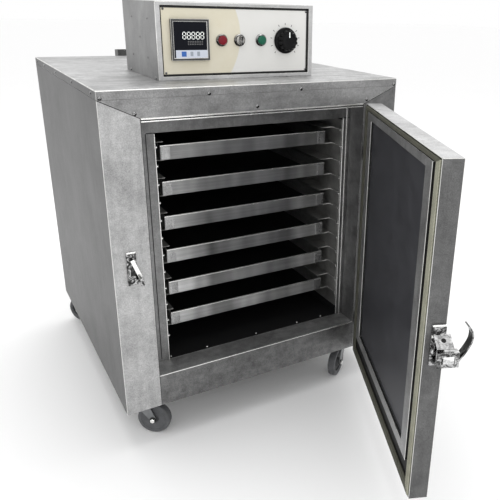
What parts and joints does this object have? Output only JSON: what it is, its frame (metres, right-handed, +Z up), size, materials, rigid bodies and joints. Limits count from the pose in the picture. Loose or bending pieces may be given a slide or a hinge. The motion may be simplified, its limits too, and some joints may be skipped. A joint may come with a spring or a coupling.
{
  "type": "tray dryer",
  "caption": "Insulated steel drying cabinet on castors with a hinged door, sliding trays on runners, a rear fan and heater, and a control console on its lid.",
  "frame": {"origin": "On the floor, under the middle of the bounding box with the door at its stored angle.", "axes": "+Y from the door side towards the back, +X towards the hinge side, +Z up."},
  "size_m": [0.8, 1.5201, 1.112],
  "materials": {
    "sanded_steel": "fine sanded stainless sheet",
    "tray_steel": "bright stainless sheet",
    "black_liner": "black high-temperature paint, satin",
    "rack_steel": "heat-darkened steel",
    "dark_inner_panel": "polished dark sheet",
    "mineral_wool": "mineral wool slab",
    "woven_seal": "woven glass-fibre seal",
    "bright_chrome": "polished",
    "grey_casting": "zinc-plated pressed steel",
    "cream_enamel": "satin enamel, cream and white halves",
    "black_plastic": "glossy black moulding",
    "red_plastic": "glossy red moulding",
    "green_plastic": "glossy green moulding",
    "grey_rubber": "grey solid rubber tyre on a moulded hub"
  },
  "bodies": {
    "cabinet": {"base_panel": "sanded_steel", "left_side_panel": "sanded_steel", "right_side_panel": "sanded_steel", "back_panel": "sanded_steel", "lid": "sanded_steel", "header": "sanded_steel", "left_stile": "sanded_steel", "right_stile": "sanded_steel", "sill": "sanded_steel", "door_seat_frame": "sanded_steel", "console_case": "sanded_steel", "exhaust_duct": "sanded_steel", "chamber_liner": "black_liner", "chamber_back_wall": "black_liner", "air_duct_wall": "black_liner", "left_runner_rack": "rack_steel", "right_runner_rack": "rack_steel", "heater_element": "rack_steel", "insulation_jacket": "mineral_wool", "latch_keeper": "bright_chrome", "temperature_probe": "bright_chrome", "red_button_body": "bright_chrome", "green_button_body": "bright_chrome", "selector_body": "bright_chrome", "upper_hinge_frame_leaf": "grey_casting", "lower_hinge_frame_leaf": "grey_casting", "fan_motor": "grey_casting", "console_face_plate": "cream_enamel", "temperature_controller": "black_plastic", "power_regulator": "black_plastic"},
    "door": {"door_outer_pan": "sanded_steel", "door_inner_pan": "sanded_steel", "door_insulation": "mineral_wool", "door_gasket": "woven_seal", "door_trim_frame": "sanded_steel", "door_inner_panel": "dark_inner_panel", "upper_hinge_door_leaf": "grey_casting", "lower_hinge_door_leaf": "grey_casting", "latch_base": "bright_chrome"},
    "latch_lever": {"latch_lever": "bright_chrome"},
    "red_button_cap": {"red_button_cap": "red_plastic"},
    "green_button_cap": {"green_button_cap": "green_plastic"},
    "selector_switch": {"selector_switch": "bright_chrome"},
    "regulator_knob": {"regulator_knob": "black_plastic"},
    "circulation_fan": {"circulation_fan": "grey_casting"},
    "exhaust_damper": {"exhaust_damper": "bright_chrome"},
    "tray_1": {"tray_1": "tray_steel"},
    "tray_2": {"tray_2": "tray_steel"},
    "tray_3": {"tray_3": "tray_steel"},
    "tray_4": {"tray_4": "tray_steel"},
    "tray_5": {"tray_5": "tray_steel"},
    "tray_6": {"tray_6": "tray_steel"},
    "front_left_castor_fork": {"front_left_castor_fork": "grey_casting"},
    "front_left_castor_wheel": {"front_left_castor_wheel": "grey_rubber"},
    "front_right_castor_fork": {"front_right_castor_fork": "grey_casting"},
    "front_right_castor_wheel": {"front_right_castor_wheel": "grey_rubber"},
    "rear_left_castor_fork": {"rear_left_castor_fork": "grey_casting"},
    "rear_left_castor_wheel": {"rear_left_castor_wheel": "grey_rubber"},
    "rear_right_castor_fork": {"rear_right_castor_fork": "grey_casting"},
    "rear_right_castor_wheel": {"rear_right_castor_wheel": "grey_rubber"}
  },
  "joints": [
    {"name": "door_hinge", "type": "hinge", "parent": "cabinet", "child": "door", "pos_m": [0.306, -0.12653, 0.492], "axis": [0, 0, 1], "range_deg": [-67, 58]},
    {"name": "latch_pivot", "type": "hinge", "parent": "door", "child": "latch_lever", "pos_m": [0.0705, -0.71205, 0.485], "axis": [0, 0, 1], "range_deg": [0, 45]},
    {"name": "tray_1_slide", "type": "slide", "parent": "cabinet", "child": "tray_1", "axis": [0, -1, 0], "range_m": [0, 0.2]},
    {"name": "tray_2_slide", "type": "slide", "parent": "cabinet", "child": "tray_2", "axis": [0, -1, 0], "range_m": [0, 0.2]},
    {"name": "tray_3_slide", "type": "slide", "parent": "cabinet", "child": "tray_3", "axis": [0, -1, 0], "range_m": [0, 0.2]},
    {"name": "tray_4_slide", "type": "slide", "parent": "cabinet", "child": "tray_4", "axis": [0, -1, 0], "range_m": [0, 0.2]},
    {"name": "tray_5_slide", "type": "slide", "parent": "cabinet", "child": "tray_5", "axis": [0, -1, 0], "range_m": [0, 0.2]},
    {"name": "tray_6_slide", "type": "slide", "parent": "cabinet", "child": "tray_6", "axis": [0, -1, 0], "range_m": [0, 0.2]},
    {"name": "front_left_swivel", "type": "hinge", "parent": "cabinet", "child": "front_left_castor_fork", "pos_m": [-0.342, -0.03753, 0.097], "axis": [0, 0, 1], "continuous": true},
    {"name": "front_left_axle", "type": "hinge", "parent": "front_left_castor_fork", "child": "front_left_castor_wheel", "pos_m": [-0.31773, -0.05516, 0.045], "axis": [0.5878, 0.809, 0], "continuous": true},
    {"name": "front_right_swivel", "type": "hinge", "parent": "cabinet", "child": "front_right_castor_fork", "pos_m": [0.29, -0.04653, 0.097], "axis": [0, 0, 1], "continuous": true},
    {"name": "front_right_axle", "type": "hinge", "parent": "front_right_castor_fork", "child": "front_right_castor_wheel", "pos_m": [0.26573, -0.06416, 0.045], "axis": [0.5878, -0.809, 0], "continuous": true},
    {"name": "rear_left_swivel", "type": "hinge", "parent": "cabinet", "child": "rear_left_castor_fork", "pos_m": [-0.342, 0.66347, 0.097], "axis": [0, 0, 1], "continuous": true},
    {"name": "rear_left_axle", "type": "hinge", "parent": "rear_left_castor_fork", "child": "rear_left_castor_wheel", "pos_m": [-0.36005, 0.68743, 0.045], "axis": [-0.7986, -0.6018, 0], "continuous": true},
    {"name": "rear_right_swivel", "type": "hinge", "parent": "cabinet", "child": "rear_right_castor_fork", "pos_m": [0.29, 0.66347, 0.097], "axis": [0, 0, 1], "continuous": true},
    {"name": "rear_right_axle", "type": "hinge", "parent": "rear_right_castor_fork", "child": "rear_right_castor_wheel", "pos_m": [0.305, 0.68945, 0.045], "axis": [-0.866, 0.5, 0], "continuous": true},
    {"name": "red_button_press", "type": "slide", "parent": "cabinet", "child": "red_button_cap", "axis": [0, 1, 0], "range_m": [0, 0.003], "stiffness_N_per_m": 300},
    {"name": "green_button_press", "type": "slide", "parent": "cabinet", "child": "green_button_cap", "axis": [0, 1, 0], "range_m": [0, 0.003], "stiffness_N_per_m": 300},
    {"name": "selector_turn", "type": "hinge", "parent": "cabinet", "child": "selector_switch", "pos_m": [-0.012, 0.00847, 1.0255], "axis": [0, -1, 0], "range_deg": [-45, 45]},
    {"name": "regulator_turn", "type": "hinge", "parent": "cabinet", "child": "regulator_knob", "pos_m": [0.119, 0.00347, 1.024], "axis": [0, -1, 0], "range_deg": [-270, 0]},
    {"name": "fan_spin", "type": "hinge", "parent": "cabinet", "child": "circulation_fan", "pos_m": [0.006, 0.51947, 0.512], "axis": [0, 1, 0], "continuous": true},
    {"name": "damper_turn", "type": "hinge", "parent": "cabinet", "child": "exhaust_damper", "pos_m": [-0.1, 0.74067, 0.902], "axis": [1, 0, 0], "range_deg": [0, 90]}
  ]
}
